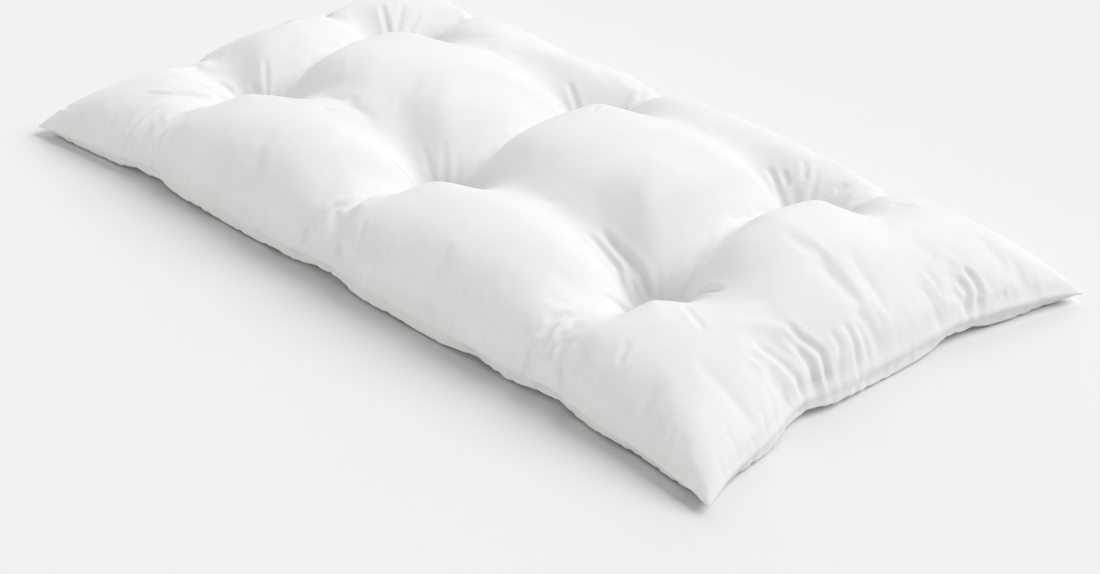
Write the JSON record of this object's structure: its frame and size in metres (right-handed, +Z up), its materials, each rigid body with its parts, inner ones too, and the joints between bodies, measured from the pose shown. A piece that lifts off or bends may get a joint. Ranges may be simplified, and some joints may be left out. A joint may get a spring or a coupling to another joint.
{
  "type": "tufted floor mattress",
  "caption": "Long white cotton floor mattress with a knife-edge seam, pointed corners, blind tufts and soft puffed crowns, laid flat.",
  "frame": {"origin": "under the middle of the mattress, on the surface that it rests on", "axes": "+X along the length, +Y across the width, +Z up"},
  "size_m": [1.2, 0.63, 0.142],
  "materials": {
    "cotton": "plain weave white cotton, matt"
  },
  "bodies": {
    "root": {"mattress": "cotton"}
  },
  "joints": []
}
